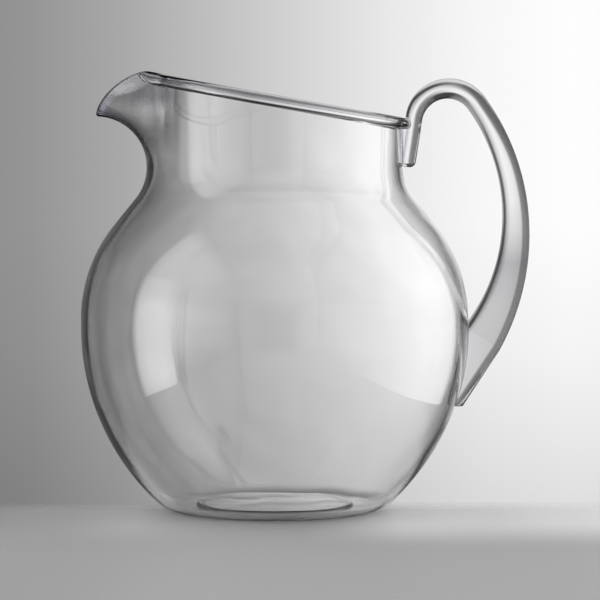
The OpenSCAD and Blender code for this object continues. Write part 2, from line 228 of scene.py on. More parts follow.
class VesselForm:
    """Levels, radii and outlines of the vessel, worked out from its sizes."""

    blend_share = 0.955
    fillet_share = 0.25
    corner_share = 0.45
    lip_power = 1.5
    bead_end_share = 0.35
    bead_start = math.radians(60)

    def __init__(self, sizes):
        self.sizes = sizes
        self.belly_r = sizes.belly_d / 2
        self.neck_r = sizes.neck_d / 2
        self.foot_r = sizes.foot_d / 2
        self.recess_r = self.foot_r - sizes.foot_ring_w
        self.floor_z = sizes.recess_depth + sizes.floor_t
        self.belt_top_z = sizes.belly_z + sizes.belt_h
        self.neck_z = self.belt_top_z + sizes.shoulder_h
        self.rim_low_z = self.neck_z + sizes.neck_h
        self.rim_mid_z = self.rim_low_z + self.neck_r * math.tan(sizes.rim_tilt)
        across = self.belly_r - self.foot_r
        along = sizes.belly_z - sizes.foot_round
        self.low_r = (across**2 + along**2 - sizes.foot_round**2) / (2 * (across - sizes.foot_round))
        self.low_centre = (self.belly_r - self.low_r, sizes.belly_z)
        shoulder_in = self.belly_r - self.neck_r
        blend_r = self.blend_share * (shoulder_in**2 + sizes.shoulder_h**2) / (2 * shoulder_in)
        self.fillet_r = self.fillet_share * blend_r
        self.high_r = blend_r - self.fillet_r
        self.fillet_centre = (self.neck_r + self.fillet_r, self.neck_z)

    def skin(self, grow, bottom_z, corner_r, bulge_r):
        """Outline from the flat bottom up to the neck, offset outwards by grow."""
        arc_r = self.low_r + grow
        corner_z = bottom_z + corner_r
        touch = -math.asin((self.sizes.belly_z - corner_z) / (arc_r - corner_r))
        corner = (self.low_centre[0] + (arc_r - corner_r) * math.cos(touch), corner_z)
        bulge = (self.belly_r + grow - bulge_r, self.belt_top_z)
        hollow_r = self.fillet_r - grow
        way = (self.fillet_centre[0] - bulge[0], self.fillet_centre[1] - bulge[1])
        cone = math.atan2(way[1], way[0]) - math.acos((bulge_r + hollow_r) / math.hypot(*way))
        return (
            arc(corner, corner_r, -math.pi / 2, touch)
            + arc(self.low_centre, arc_r, touch, 0)[1:]
            + arc(bulge, bulge_r, 0, cone)
            + arc(self.fillet_centre, hollow_r, math.pi + cone, math.pi)
        )

    def outside(self):
        """Outline of the hollow under the foot, the foot and the outside up to the neck."""
        recess = self.step(self.recess_r, 0)
        return recess + self.skin(0, 0, self.sizes.foot_round, self.high_r)

    def inside(self):
        """Outline of the inside from the neck down to the floor and its step over the hollow."""
        sizes = self.sizes
        wall = sizes.wall
        skin = self.skin(-wall, sizes.floor_t, sizes.foot_round - wall, self.high_r - wall)
        return skin[::-1] + self.step(self.recess_r + sizes.floor_t, sizes.floor_t)[::-1]

    def step(self, radius, level):
        """Outline of the hollow's step, rounded above and below, down to a radius and a level."""
        depth = self.sizes.recess_depth
        edge_r = depth / 2
        upper = arc((radius - depth, level + edge_r), edge_r, math.pi / 2, 0)
        return upper + arc((radius, level + edge_r), edge_r, math.pi, 3 * math.pi / 2)[1:]

    def spout_share(self, turn):
        """Share of the spout's reach at a turn from its middle."""
        half = self.sizes.spout_half_angle
        return (1 + math.cos(math.pi * turn / half)) / 2 if abs(turn) < half else 0

    def lip(self, turn):
        """Radius and level of the mouth's edge at a turn from the spout's middle."""
        sizes = self.sizes
        radius = self.neck_r + sizes.spout_reach * self.spout_share(turn)
        forward = radius * math.cos(turn)
        out = min(1, max(0, (forward - self.neck_r) / sizes.spout_reach))
        droop = 1 - (1 - out**self.lip_power) ** (1 / self.lip_power)
        level = self.rim_mid_z + forward * math.tan(sizes.rim_tilt) - sizes.spout_drop * droop
        return radius, level

    def plain_share(self, turn):
        """Share by which the bead has given way to the plain lip at a turn."""
        return fade(min(1, self.spout_share(turn) / self.bead_end_share))

    def wall_arc(self, turn, top_t):
        """Radius and lean of the arc up the outside at a turn, below a lip of a thickness."""
        sizes = self.sizes
        spout = self.spout_share(turn)
        lip_h = mix(sizes.bead_h, sizes.lip_t, self.plain_share(turn))
        corner_r = self.corner_share * min(top_t, sizes.wall)
        level = self.lip(turn)[1] - self.neck_z
        rough_lean = 2 * math.atan2((sizes.spout_reach - sizes.lip_t) * spout, level - lip_h)
        top_rise = corner_r + (lip_h - corner_r) * math.cos(rough_lean)
        top_rise += (top_t - corner_r) * math.sin(rough_lean)
        reach = sizes.spout_reach * spout - lip_h * math.sin(rough_lean) + HAIR
        rise = level - top_rise
        return (reach**2 + rise**2) / (2 * reach), 2 * math.atan2(reach, rise)

    def slant(self, turn, part):
        """How much longer a line across the wall is in the outline than square to the wall."""
        sides = []
        for side in (turn - SLANT_STEP, turn + SLANT_STEP):
            arc_r, lean = self.wall_arc(side, self.sizes.wall)
            sides.append(polar((self.neck_r + arc_r, self.neck_z), arc_r, math.pi - lean * part))
        arc_r, lean = self.wall_arc(turn, self.sizes.wall)
        radius = self.neck_r + arc_r * (1 - math.cos(lean * part))
        away = (sides[1][0] - sides[0][0]) * math.cos(lean * part)
        away -= (sides[1][1] - sides[0][1]) * math.sin(lean * part)
        return math.hypot(1, away / (2 * SLANT_STEP * radius))

    def mouth_section(self, turn):
        """Outline of the mouth's wall at a turn: up the outside, over the bead and down the inside."""
        sizes = self.sizes
        plain = self.plain_share(turn)
        lip_h = mix(sizes.bead_h, sizes.lip_t, plain)
        top_t = mix(sizes.wall, sizes.lip_t, self.spout_share(turn)) * self.slant(turn, 1)
        corner_r = self.corner_share * min(top_t, sizes.wall)
        arc_r, lean = self.wall_arc(turn, top_t)
        centre = (self.neck_r + arc_r, self.neck_z)
        end = polar(centre, arc_r, math.pi - lean)

        def place(up, out):
            return (
                end[0] + up * math.sin(lean) + out * math.cos(lean),
                end[1] + up * math.cos(lean) - out * math.sin(lean),
            )

        bead_r = lip_h / 2
        bead_mid = mix(sizes.bead_out - sizes.bead_h / 2, -top_t / 2, plain)
        bead_from = mix(-self.bead_start, 0, plain)
        points = [
            polar(centre, arc_r, math.pi - lean * i / WALL_STEPS) for i in range(1, WALL_STEPS + 1)
        ]
        for i in range(BEAD_STEPS + 1):
            a = mix(bead_from, math.pi / 2, i / BEAD_STEPS)
            points.append(place(bead_r * (1 + math.sin(a)), bead_mid + bead_r * math.cos(a)))
        for i in range(CORNER_STEPS + 1):
            a = mix(math.pi / 2, math.pi, i / CORNER_STEPS)
            points.append(
                place(lip_h - corner_r * (1 - math.sin(a)), corner_r * (1 + math.cos(a)) - top_t)
            )
        for i in range(WALL_STEPS):
            part = 1 - i / WALL_STEPS
            square_t = mix(sizes.wall, mix(sizes.wall, sizes.lip_t, self.spout_share(turn)), part)
            thickness = square_t * self.slant(turn, part)
            points.append(polar(centre, arc_r + thickness, math.pi - lean * part))
        return points

    def columns(self):
        """Turns of the mesh's columns, closer together in the spout."""
        half = self.sizes.spout_half_angle
        back = 2 * (math.pi - half) / BACK_COLUMNS
        spout = [mix(-half, half, i / SPOUT_COLUMNS) for i in range(SPOUT_COLUMNS)]
        return spout + [half + i * back for i in range(BACK_COLUMNS)]

    def gap_outside(self, point):
        """How far a point lies outside the foot, belly, shoulder or neck."""
        radius = math.hypot(point.x, point.y)
        if point.z < self.sizes.belly_z:
            return math.hypot(radius - self.low_centre[0], point.z - self.sizes.belly_z) - self.low_r
        if point.z < self.belt_top_z:
            return radius - self.belly_r
        if point.z < self.neck_z - self.fillet_r:
            bulge_x = self.belly_r - self.high_r
            return math.hypot(radius - bulge_x, point.z - self.belt_top_z) - self.high_r
        return radius - self.neck_r


class HandleForm:
    """Middle line and sections of the handle's bar, worked out from its sizes and the vessel's."""

    bow_w_share = 0.3
    post_edge_share = 0.95
    post_round_share = 0.76
    pad_depth_share = 0.84
    pad_gap_share = 0.1
    round_share = 0.985
    flat_share = 0.3

    def __init__(self, vessel, sizes):
        self.vessel = vessel
        self.sizes = sizes
        lean = sizes.post_lean
        self.post_turn = math.pi - lean
        self.post_start = (vessel.neck_r + sizes.post_toe_t - sizes.post_w / 2, vessel.neck_z)
        bow_w = mix(sizes.rod_d, sizes.foot_w, self.bow_w_share)
        bow_x = vessel.belly_r + sizes.handle_reach - bow_w / 2 - sizes.bow_r
        self.bow_centre = (bow_x, vessel.sizes.belly_z + sizes.bow_rise)
        self.set_arch(lean)
        self.set_foot()

    def set_arch(self, lean):
        """The arch touches the post's line, the level of the top and the bow's circle."""
        sizes = self.sizes
        top_z = self.vessel.rim_low_z + sizes.handle_rise - sizes.rod_d / 2
        start = Vector((self.post_start[0] + (top_z - self.vessel.neck_z) * math.tan(lean), top_z))
        start -= Vector(self.bow_centre)
        move = Vector(((1 - math.sin(lean)) / math.cos(lean), -1))
        root_a = move.dot(move) - 1
        root_b = start.dot(move) + sizes.bow_r
        root_c = start.dot(start) - sizes.bow_r**2
        self.arch_r = (math.sqrt(root_b**2 - root_a * root_c) - root_b) / root_a
        way = start + self.arch_r * move
        self.arch_centre = (self.bow_centre[0] + way.x, self.bow_centre[1] + way.y)
        self.bow_from = math.atan2(way.y, way.x)

    def set_foot(self):
        """The foot leaves the bow where its outer edge runs straight to the tip on the belly."""
        sizes = self.sizes
        vessel = self.vessel
        self.tip_z = vessel.sizes.belly_z - sizes.tip_drop
        tip_x = vessel.low_centre[0] + math.sqrt(vessel.low_r**2 - sizes.tip_drop**2) + sizes.tip_t
        way = (tip_x - self.bow_centre[0], self.tip_z - self.bow_centre[1])
        reach = (sizes.bow_r + sizes.foot_w / 2) / math.hypot(*way)
        self.bow_to = math.atan2(way[1], way[0]) + math.acos(reach)
        leave_z = self.bow_centre[1] + sizes.bow_r * math.sin(self.bow_to)
        self.foot_run = (leave_z - self.tip_z) / math.cos(self.bow_to)

    def stations(self):
        """Stations along the bar: place, turn of its outward side, half width, half depth, edge."""
        sizes = self.sizes
        half_post = sizes.post_w / 2
        half_rod = sizes.rod_d / 2
        post_round = self.post_round_share * half_post
        found = []
        for i in range(CAP_STEPS + 1):
            turn = math.pi / 2 * i / CAP_STEPS
            inset = post_round * (1 - math.sin(turn))
            place = polar(self.post_start, post_round * (1 - math.cos(turn)), math.pi / 2 - sizes.post_lean)
            edge = self.post_edge_share * half_post - inset
            found.append((place, self.post_turn, half_post - inset, half_rod - inset, edge))
        for i in range(ARCH_STEPS + 1):
            turn = mix(self.post_turn, self.bow_from, i / ARCH_STEPS)
            part = math.sin(math.pi / 2 * i / ARCH_STEPS)
            half_w = mix(half_post, half_rod, part)
            edge = mix(self.post_edge_share, 1, part) * half_w
            found.append((polar(self.arch_centre, self.arch_r, turn), turn, half_w, half_rod, edge))
        for i in range(1, BOW_STEPS + 1):
            turn = mix(self.bow_from, self.bow_to, i / BOW_STEPS)
            part = (i / BOW_STEPS) ** 2
            half_w = mix(sizes.rod_d, sizes.foot_w, part) / 2
            half_depth = mix(sizes.rod_d, sizes.foot_depth, part) / 2
            edge = mix(half_rod, sizes.foot_edge_r, fade(min(1, i / BOW_STEPS / self.flat_share)))
            found.append((polar(self.bow_centre, sizes.bow_r, turn), turn, half_w, half_depth, edge))
        last = polar(self.bow_centre, sizes.bow_r, self.bow_to)
        foot = polar(last, self.foot_run, self.bow_to - math.pi / 2)
        found.append((foot, self.bow_to, sizes.foot_w / 2, sizes.foot_depth / 2, sizes.foot_edge_r))
        return found

    def ring(self, station):
        """Rounded rectangle across the bar at a station."""
        place, turn, half_w, half_depth, edge = station
        edge = min(edge, self.round_share * half_w, self.round_share * half_depth)
        points = []
        for corner in range(4):
            side_w = (half_w - edge) * (1 if corner in (0, 3) else -1)
            side_d = (half_depth - edge) * (1 if corner < 2 else -1)
            for i in range(EDGE_STEPS + 1):
                a = math.pi / 2 * (corner + i / EDGE_STEPS)
                x, z = polar(place, side_w + edge * math.cos(a), turn)
                points.append(Vector((x, side_d + edge * math.sin(a), z)))
        return points


def loft(name, rings, start_pole=None, end_pole=None):
    """Mesh through closed rings of equal length, ended by a pole point or a flat face."""
    sides = len(rings[0])
    points = [p for ring in rings for p in ring]
    faces = []
    for i in range(len(rings) - 1):
        for j in range(sides):
            k = (j + 1) % sides
            low, high = i * sides, (i + 1) * sides
            faces.append((low + j, low + k, high + k, high + j))
    last = (len(rings) - 1) * sides
    if start_pole is None:
        faces.append(tuple(reversed(range(sides))))
        faces.append(tuple(range(last, last + sides)))
    else:
        start, end = len(points), len(points) + 1
        points += [start_pole, end_pole]
        faces += [(start, (j + 1) % sides, j) for j in range(sides)]
        faces += [(end, last + j, last + (j + 1) % sides) for j in range(sides)]
    mesh = bpy.data.meshes.new(name)
    mesh.from_pydata(points, [], faces)
    mesh.validate()
    return mesh


def add_object(name, mesh):
    piece = bpy.data.objects.new(name, mesh)
    bpy.context.scene.collection.objects.link(piece)
    return piece


def smooth(mesh, sharp_angle):
    """Shades a mesh smooth, with a crease wherever it turns by more than the angle."""
    mesh.polygons.foreach_set("use_smooth", [True] * len(mesh.polygons))
    mesh.set_sharp_from_angle(angle=sharp_angle)


def vessel_mesh(form):
    """The vessel as one closed skin: under the foot, up the outside and down the inside."""
    outside = form.outside()
    inside = form.inside()
    columns = form.columns()
    outlines = [outside + form.mouth_section(turn) + inside for turn in columns]
    rings = []
    for row in range(len(outlines[0])):
        ring = []
        for turn, outline in zip(columns, outlines):
            radius, level = outline[row]
            ring.append((-radius * math.cos(turn), -radius * math.sin(turn), level))
        rings.append(ring)
    mesh = loft("moulded_vessel", rings, (0, 0, form.sizes.recess_depth), (0, 0, form.floor_z))
    smooth(mesh, VESSEL_CREASE)
    shade_rim(mesh, columns, len(outside) + WALL_STEPS - 1)
    return mesh


def shade_rim(mesh, columns, rim_row):
    """Gives the bead, the lip and the spout's chin below it the mesh's third material, which carries
    painted shade.
    """
    sides = len(columns)
    rim_rows = BEAD_STEPS + CORNER_STEPS + 2
    for face in mesh.polygons[rim_row * sides:(rim_row + rim_rows) * sides]:
        face.material_index = RIM_FACE
    for row in range(rim_row - CHIN_ROWS, rim_row):
        for j, turn in enumerate(columns):
            if abs(turn) < CHIN_HALF_ANGLE:
                mesh.polygons[row * sides + j].material_index = RIM_FACE


def sector_mesh(name, outline):
    """A closed outline in the upright plane swept round the axis, through a sector at the handle."""
    rings = []
    for i in range(CUTTER_COLUMNS + 1):
        turn = mix(CUTTER_HALF_ANGLE, -CUTTER_HALF_ANGLE, i / CUTTER_COLUMNS)
        rings.append([(r * math.cos(turn), r * math.sin(turn), z) for r, z in outline])
    return loft(name, rings)


def envelope_outline(vessel, grow):
    """The vessel's outside up to the rim, grown by the adhesive's thickness, closed inwards."""
    sizes = vessel.sizes
    skin = vessel.skin(grow, -grow, sizes.foot_round + grow, vessel.high_r + grow)
    inner_r = vessel.neck_r / 2
    upper = [(vessel.neck_r + grow, vessel.rim_low_z), (inner_r, vessel.rim_low_z)]
    return [(inner_r, -grow)] + skin[1:] + upper


def bead_outline(vessel, grow):
    """The rim's bead beside the handle, grown by its clearance, closed inwards."""
    sizes = vessel.sizes
    radius = sizes.bead_h / 2 + grow
    centre = (vessel.neck_r + sizes.bead_out - sizes.bead_h / 2, vessel.rim_low_z - sizes.bead_h / 2)
    inner_r = vessel.neck_r / 2
    bulb = arc(centre, radius, -math.pi / 2, math.pi / 2)
    return [(inner_r, centre[1] - radius)] + bulb + [(inner_r, centre[1] + radius)]


def block_mesh(name, low, high):
    """A block between two corners."""
    rings = []
    for z in (low.z, high.z):
        corners = [(low.x, low.y), (high.x, low.y), (high.x, high.y), (low.x, high.y)]
        rings.append([(x, y, z) for x, y in corners])
    return loft(name, rings)


def pad_mesh(form):
    """The pad that fills the wedge between the leaning post and the neck."""
    sizes = form.sizes
    vessel = form.vessel
    lean = sizes.post_lean
    gap = form.pad_gap_share * form.post_round_share * sizes.post_w / 2
    run = (vessel.rim_low_z - vessel.sizes.bead_h / 2 - vessel.neck_z) / math.cos(lean)
    half_depth = form.pad_depth_share * sizes.rod_d / 2
    rings = []
    for up in (gap, run):
        x, z = polar(form.post_start, up, math.pi / 2 - lean)
        back_x, back_z = polar((x, z), sizes.post_w, math.pi - lean)
        rings.append([
            (back_x, -half_depth, back_z),
            (x, -half_depth, z),
            (x, half_depth, z),
            (back_x, half_depth, back_z),
        ])
    return loft("post_pad", rings)


def cut(piece, other_mesh, operation):
    """Joins a mesh to a piece or takes it away, and keeps the outcome as the piece's own mesh."""
    other = add_object(other_mesh.name, other_mesh)
    step = piece.modifiers.new(operation, "BOOLEAN")
    step.operation = operation
    step.solver = "EXACT"
    step.object = other
    graph = bpy.context.evaluated_depsgraph_get()
    made = bpy.data.meshes.new_from_object(piece.evaluated_get(graph))
    piece.modifiers.clear()
    piece.data = made
    bpy.data.objects.remove(other)


def handle_object(form):
    """The bent bar with its pad, fitted to the vessel, the rim's bead and the level of its tip."""
    sizes = form.sizes
    vessel = form.vessel
    bar = loft("bar_handle", [form.ring(station) for station in form.stations()])
    piece = add_object("bar_handle", bar)
    reach = vessel.belly_r + sizes.handle_reach
    below = (Vector((0, -sizes.foot_depth, 0)), Vector((reach, sizes.foot_depth, form.tip_z)))
    cut(piece, pad_mesh(form), "UNION")
    cut(piece, sector_mesh("envelope", envelope_outline(vessel, sizes.bond_t)), "DIFFERENCE")
    cut(piece, sector_mesh("bead", bead_outline(vessel, sizes.bead_clear)), "DIFFERENCE")
    cut(piece, block_mesh("below_tip", *below), "DIFFERENCE")
    piece.data.name = "bar_handle"
    smooth(piece.data, HANDLE_CREASE)
    return piece


def bonded_faces(mesh, is_bonded):
    """Gives the faces that the adhesive wets the mesh's second material."""
    for face in mesh.polygons:
        if is_bonded(face.center):
            face.material_index = BONDED_FACE


def add_node(tree, kind, inputs=None, **settings):
    """Adds a shader node, sets its own settings, and sets or links its inputs."""
    made = tree.nodes.new(kind)
    for name, value in settings.items():
        setattr(made, name, value)
    for name, value in (inputs or {}).items():
        if isinstance(value, bpy.types.NodeSocket):
            tree.links.new(value, made.inputs[name])
        else:
            made.inputs[name].default_value = value
    return made


def math_node(tree, operation, *values):
    """The outcome of one sum on numbers or sockets."""
    return add_node(tree, "ShaderNodeMath", dict(enumerate(values)), operation=operation).outputs[0]


def mix_node(tree, part, first, second):
    """The colour between two colours at a share."""
    made = add_node(tree, "ShaderNodeMix", {"Factor": part}, data_type="RGBA")
    for name, value in (("A", first), ("B", second)):
        socket = next(s for s in made.inputs if s.name == name and s.type == "RGBA")
        if isinstance(value, bpy.types.NodeSocket):
            tree.links.new(value, socket)
        else:
            socket.default_value = value
    return next(s for s in made.outputs if s.type == "RGBA")


def ramp_node(tree, value, stops):
    """A grey ramp over a value, from the first of its stops to the last."""
    low = stops[0][0]
    high = stops[-1][0]
    spread = add_node(tree, "ShaderNodeMapRange", {"Value": value, "From Min": low, "From Max": high})
    ramp = add_node(tree, "ShaderNodeValToRGB", {"Fac": spread.outputs["Result"]})
    elements = ramp.color_ramp.elements
    while len(elements) < len(stops):
        elements.new(0.5)
    for element, (place, level) in zip(elements, stops):
        element.position = (place - low) / (high - low)
        element.color = (level, level, level, 1)
    return ramp.outputs["Color"]


def smooth_step(tree, value, bounds):
    """A share that rises gently from 0 to 1 while a value goes from one bound to the other."""
    made = add_node(tree, "ShaderNodeMapRange", {
        "Value": value, "From Min": bounds[0], "From Max": bounds[1],
    }, interpolation_type="SMOOTHSTEP")
    return made.outputs["Result"]


def new_material(name):
    """An empty material, its node tree and its output."""
    material = bpy.data.materials.new(name)
    material.use_nodes = True
    material.node_tree.nodes.clear()
    output = add_node(material.node_tree, "ShaderNodeOutputMaterial")
    return material, material.node_tree, output


def solid_colour(value):
    return (*value, 1)


def clear_acrylic(name, tint, cast, shade_tint, shade_stops, ripple):
    """Polished clear acrylic, with a cast that drifts, painted shade that deepens it by place, ripple and
    wipe marks.
    """
    material, tree, output = new_material(name)
    place = add_node(tree, "ShaderNodeTexCoord").outputs["Object"]
    drift = add_node(tree, "ShaderNodeTexNoise", {"Vector": place, "Scale": DRIFT_SCALE, "Detail": 2})
    plain = mix_node(tree, drift.outputs["Fac"], solid_colour(tint), solid_colour(cast))
    axes = add_node(tree, "ShaderNodeSeparateXYZ", {"Vector": place})
    # Share of the painted shade, from its stops along each axis
    depth = 1.0
    for axis, stops in shade_stops.items():
        along = ramp_node(tree, axes.outputs[axis], stops)
        depth = math_node(tree, "MULTIPLY", depth, along)
    # Mixes the painted shade into the drifting cast
    tone = mix_node(tree, depth, plain, solid_colour(shade_tint))
    marks = add_node(tree, "ShaderNodeTexNoise", {"Vector": place, "Scale": MARK_SCALE, "Detail": 4})
    rough = add_node(tree, "ShaderNodeMapRange", {
        "Value": marks.outputs["Fac"],
        "From Min": MARK_BOUNDS[0],
        "From Max": MARK_BOUNDS[1],
        "To Max": MARK_ROUGHNESS,
    })
    swell = add_node(tree, "ShaderNodeTexNoise", {"Vector": place, "Scale": RIPPLE_SCALE, "Detail": 1})
    bump = add_node(tree, "ShaderNodeBump", {"Height": swell.outputs["Fac"], "Distance": ripple})
    shader = add_node(tree, "ShaderNodeBsdfPrincipled", {
        "Base Color": tone,
        "Roughness": rough.outputs["Result"],
        "Normal": bump.outputs["Normal"],
        "IOR": ACRYLIC_IOR,
        "Transmission Weight": 1.0,
    })
    tree.links.new(shader.outputs["BSDF"], output.inputs["Surface"])
    return material


def unbent_shader(tree, output, tone):
    """Lets light through tinted and unbent, as adhesive does between faces of its own index."""
    shader = add_node(tree, "ShaderNodeBsdfPrincipled", {
        "Base Color": tone,
        "Roughness": 0.0,
        "IOR": UNBENT_IOR,
        "Transmission Weight": 1.0,
    })
    tree.links.new(shader.outputs["BSDF"], output.inputs["Surface"])


def bonded_acrylic(name, tint):
    """Face of the acrylic that the adhesive wets, tinted in fine mottles."""
    material, tree, output = new_material(name)
    place = add_node(tree, "ShaderNodeTexCoord").outputs["Object"]
    drift = add_node(tree, "ShaderNodeTexNoise", {"Vector": place, "Scale": WETTED_SCALE, "Detail": 3})
    unbent_shader(tree, output, mix_node(tree, drift.outputs["Fac"], solid_colour(tint), WHITE))
    return material


def clear_adhesive(name, tint, edge, half_depth):
    """Set adhesive: clear in the middle, with painted shade along its ragged edge."""
    material, tree, output = new_material(name)
    place = add_node(tree, "ShaderNodeTexCoord").outputs["Object"]
    axes = add_node(tree, "ShaderNodeSeparateXYZ", {"Vector": place})
    side = math_node(tree, "ABSOLUTE", axes.outputs["Y"])
    rag = add_node(tree, "ShaderNodeTexNoise", {"Vector": place, "Scale": RAG_SCALE, "Detail": 4})
    ragged = math_node(tree, "MULTIPLY_ADD", rag.outputs["Fac"], half_depth * RAG_SHARE, side)
    # Where the painted shade along the film's edge grows
    near_edge = add_node(tree, "ShaderNodeMapRange", {
        "Value": ragged,
        "From Min": half_depth * EDGE_SHARES[0],
        "From Max": half_depth * EDGE_SHARES[1],
    })
    tone = mix_node(tree, near_edge.outputs["Result"], solid_colour(tint), solid_colour(edge))
    unbent_shader(tree, output, tone)
    return material


def bond_tree(node):
    """Search tree of an adhesive film's faces."""
    points = [v.co for v in node.data.vertices]
    return BVHTree.FromPolygons(points, [tuple(face.vertices) for face in node.data.polygons])


class PITCHER_OT_vessel(bpy.types.Operator):
    """Build the moulded vessel with its foot, belly, neck, rim bead and spout"""

    bl_idname = "pitcher.vessel"
    bl_label = "Vessel"

    def execute(self, context):
        scene = context.scene
        form = VesselForm(scene.pitcher_vessel)
        finish = scene.pitcher_finish
        piece = add_object("moulded_vessel", vessel_mesh(form))
        # The vessel's material carries painted shade at the spout
        piece.data.materials.append(clear_acrylic(
            "vessel_acrylic", finish.body_tint, finish.edge_tint,
            finish.spout_painted_shade, SPOUT_PAINTED_SHADE, WALL_RIPPLE,
        ))
        piece.data.materials.append(bonded_acrylic("vessel_bonded_face", finish.adhesive_tint))
        piece.data.materials.append(clear_acrylic(
            "rim_acrylic", finish.body_tint, finish.edge_tint,
            finish.lip_painted_shade, RIM_PAINTED_SHADE, FINE_RIPPLE,
        ))
        bonds = [bond_tree(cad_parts[name]) for name in ("upper_bond", "lower_bond")]
        reach = scene.pitcher_handle.bond_t * VESSEL_WET_SHARE

        def is_bonded(point):
            if point.x < form.neck_r / 2 or form.gap_outside(point) < -reach:
                return False
            return any(tree.find_nearest(point, reach)[0] is not None for tree in bonds)

        bonded_faces(piece.data, is_bonded)
        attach(piece, "root")
        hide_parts("vessel_body")
        return {"FINISHED"}


class PITCHER_OT_handle(bpy.types.Operator):
    """Build the bent bar handle, fitted to the neck, the rim and the belly"""

    bl_idname = "pitcher.handle"
    bl_label = "Handle"

    def execute(self, context):
        scene = context.scene
        vessel = VesselForm(scene.pitcher_vessel)
        form = HandleForm(vessel, scene.pitcher_handle)
        finish = scene.pitcher_finish
        piece = handle_object(form)
        piece.data.materials.clear()
        # The handle's material carries painted shade on its bow
        piece.data.materials.append(clear_acrylic(
            "handle_acrylic", finish.handle_tint, finish.edge_tint,
            finish.bow_painted_shade, BOW_PAINTED_SHADE, FINE_RIPPLE,
        ))
        piece.data.materials.append(bonded_acrylic("handle_bonded_face", finish.adhesive_tint))
        bond_t = form.sizes.bond_t
        reach = bond_t * HANDLE_WET_SHARE
        bond_top = vessel.rim_low_z - vessel.sizes.bead_h - form.sizes.bead_clear

        def is_bonded(point):
            return point.z < bond_top and abs(vessel.gap_outside(point) - bond_t) < reach

        bonded_faces(piece.data, is_bonded)
        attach(piece, "root")
        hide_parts("handle")
        return {"FINISHED"}


class PITCHER_OT_bonds(bpy.types.Operator):
    """Finish the two adhesive films between the handle and the vessel"""

    bl_idname = "pitcher.bonds"
    bl_label = "Bonds"

    def execute(self, context):
        finish = context.scene.pitcher_finish
        for name in ("upper_bond", "lower_bond"):
            low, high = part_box(name)
            half_depth = (high.y - low.y) / 2
            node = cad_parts[name]
            node.data.materials.clear()
            node.data.materials.append(clear_adhesive(
                name + "_adhesive", finish.adhesive_tint, finish.adhesive_edge_shade, half_depth,
            ))
        return {"FINISHED"}


# Brightness of the studio by direction, in degrees clockwise from the way the camera looks: at eye
# level, high above it and far below it
EYE_STOPS = (
    (-180, 0.05), (-162, 0.15), (-150, 0.55), (-125, 0.8), (-100, 0.5), (-85, 0.12), (-50, 0.1),
    (-32, 0.03), (-14, 0.14), (-4.7, 0.27), (-3.8, 0.33), (-2.5, 0.41), (-1.3, 0.53), (0, 0.66), (1.3, 0.8),
    (2.2, 0.89), (3.8, 0.99), (8, 0.95), (14, 0.75), (22, 0.5), (29, 0.08), (43, 0.08), (52, 0.55),
    (64, 0.6), (90, 0.9), (125, 0.7), (150, 0.45), (163, 0.6), (171, 0.1), (180, 0.05),
)
HIGH_STOPS = (
    (-180, 0.35), (-150, 0.3), (-100, 0.4), (-80, 0.15), (-50, 0.03), (5, 0.02), (14, 0.2),
    (30, 0.3), (50, 0.4), (70, 0.8), (90, 1.1), (110, 0.9), (140, 0.5), (180, 0.35),
)
LOW_STOPS = (
    (-180, 0.5), (-90, 0.45), (-70, 0.25), (-40, 0.04), (-10, 0.06), (0, 0.24), (10, 0.06), (35, 0.06),
    (55, 0.35), (80, 0.65), (110, 0.6), (180, 0.5),
)
# Levels in degrees between which the eye level gives way to the high and the low one
HIGH_LEVELS = (9, 18)
LOW_LEVELS = (-10, -16)
# Tone that a straight look aside or down meets, and the turns and levels over which it takes over
PALE_TONE = (0.75, 0.75, 0.75, 1)
PALE_TURNS = (75, 100)
PALE_LEVELS = (-20, -35)
# How the backdrop darkens downwards: a level in degrees and a share
SINK_STOPS = ((-14, 0.62), (-9, 0.66), (-6.3, 0.755), (-4, 0.92), (-2, 1))
# Brightness of the softboxes: a distance in metres from the back edge, or a height, and a level
LEFT_GLOW = ((0, 0), (0.015, 4.5), (0.036, 6.0), (0.07, 6.2), (0.1, 5.0))
LEFT_RISE = (
    (0, 0.7), (0.02, 1), (0.13, 1), (0.155, 0.75), (0.2, 0.65), (0.28, 0.6), (0.34, 0.5),
    (0.4, 0.2), (0.45, 0),
)
FILL_GLOW = ((0, 5.0), (0.03, 4.3), (0.07, 3.4), (0.17, 2.0), (0.32, 0.7), (0.45, 0))
FILL_RISE = (
    (0, 0), (0.03, 0.2), (0.1, 0.85), (0.13, 1), (0.155, 0.75), (0.2, 0.7), (0.28, 0.7), (0.34, 0.55),
    (0.4, 0.2), (0.45, 0),
)
RIGHT_GLOW = (
    (0, 0), (0.03, 1.7), (0.06, 1.9), (0.1, 2.3), (0.125, 2.8), (0.16, 2.5), (0.2, 1.8), (0.25, 1.2),
    (0.32, 0.8), (0.45, 0.3), (0.55, 0),
)
RIGHT_RISE = ((0, 1), (0.14, 1), (0.19, 0.72), (0.26, 0.55), (0.33, 0.45), (0.4, 0.25), (0.48, 0))
SCREEN_GLOW = (
    (0, 0), (0.035, 1.2), (0.08, 1.5), (0.12, 1.7), (0.16, 1.2), (0.2, 1.1), (0.25, 0.8), (0.3, 0.6),
    (0.36, 0.5), (0.49, 0.3), (0.59, 0),
)
SCREEN_RISE = ((0, 0.9), (0.1, 1), (0.16, 1.25), (0.28, 1.35), (0.4, 1.2), (0.52, 0.5), (0.62, 0))
# Place of each softbox in x, and of its back edge in y
LEFT_SOFTBOX = (-0.2, -0.062)
LEFT_FILL = (-0.2, -0.162)
RIGHT_SOFTBOX = (0.205, 0.088)
RIGHT_SCREEN = (0.206, 0.13)
